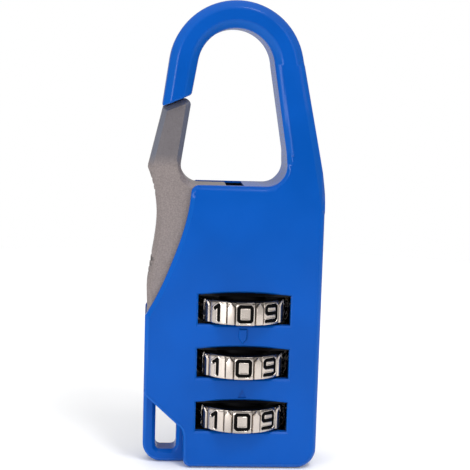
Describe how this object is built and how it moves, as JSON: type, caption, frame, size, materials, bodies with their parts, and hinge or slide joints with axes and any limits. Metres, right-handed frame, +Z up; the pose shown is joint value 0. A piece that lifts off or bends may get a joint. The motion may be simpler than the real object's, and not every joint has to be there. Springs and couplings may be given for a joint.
{
  "type": "combination padlock",
  "caption": "Carabiner-shaped combination padlock: case with integral hook, inward-swinging gate, number wheels and a lanyard loop.",
  "frame": {"origin": "on the ground under the middle of the lock, which stands on its bottom face", "axes": "+X across the face to the side with the hook's long leg, +Y from the front face to the back, +Z up towards the hook"},
  "size_m": [0.0264, 0.0142, 0.07],
  "materials": {
    "blue_paint": "glossy blue powder paint on die-cast zinc",
    "satin_zinc": "satin blasted die-cast zinc",
    "dial_chrome": "bright plated zinc with black filled digits",
    "pin_steel": "plain turned steel",
    "screw_steel": "zinc plated steel",
    "spring_steel": "bare spring wire",
    "dark_steel": "blackened steel",
    "bush_brass": "plain turned brass"
  },
  "bodies": {
    "case": {"front_case": "blue_paint", "back_cover": "blue_paint", "cover_screws": "screw_steel", "gate_pivot_pin": "pin_steel", "gate_spring": "spring_steel", "shaft_spring": "spring_steel", "shaft_bush": "bush_brass", "end_bush": "bush_brass", "detent_spring": "spring_steel", "detent_rivets": "bush_brass", "reset_spring": "spring_steel"},
    "gate": {"gate": "satin_zinc"},
    "shaft": {"locking_shaft": "pin_steel"},
    "reset": {"reset_pin": "pin_steel"},
    "wheel_1": {"dial_1": "dial_chrome", "code_sleeve_1": "dark_steel"},
    "wheel_2": {"dial_2": "dial_chrome", "code_sleeve_2": "dark_steel"},
    "wheel_3": {"dial_3": "dial_chrome", "code_sleeve_3": "dark_steel"}
  },
  "joints": [
    {"name": "gate_swing", "type": "hinge", "parent": "case", "child": "gate", "pos_m": [-0.0098, 0, 0.0251], "axis": [0, 1, 0], "range_deg": [0, 12], "stiffness_Nm_per_rad": 0.02, "springref_deg": -17.19, "deforming": ["gate_spring", "shaft_spring"]},
    {"name": "shaft_slide", "type": "slide", "parent": "case", "child": "shaft", "axis": [0, 0, -1], "range_m": [0, 0.0024]},
    {"name": "wheel_1_spin", "type": "hinge", "parent": "case", "child": "wheel_1", "pos_m": [0.00163, 0, 0.02421], "axis": [0, 0, 1], "continuous": true},
    {"name": "wheel_2_spin", "type": "hinge", "parent": "case", "child": "wheel_2", "pos_m": [0.00163, 0, 0.01599], "axis": [0, 0, 1], "continuous": true},
    {"name": "wheel_3_spin", "type": "hinge", "parent": "case", "child": "wheel_3", "pos_m": [0.00163, 0, 0.00777], "axis": [0, 0, 1], "continuous": true},
    {"name": "reset_press", "type": "slide", "parent": "case", "child": "reset", "axis": [0, 0, 1], "range_m": [0, 0.0006], "stiffness_N_per_m": 150, "springref_m": -0.0002, "deforming": ["reset_spring"]}
  ],
  "couplings": [
    {"joint": "shaft_slide", "follows": "gate_swing", "m_per_rad": 0.011459}
  ]
}
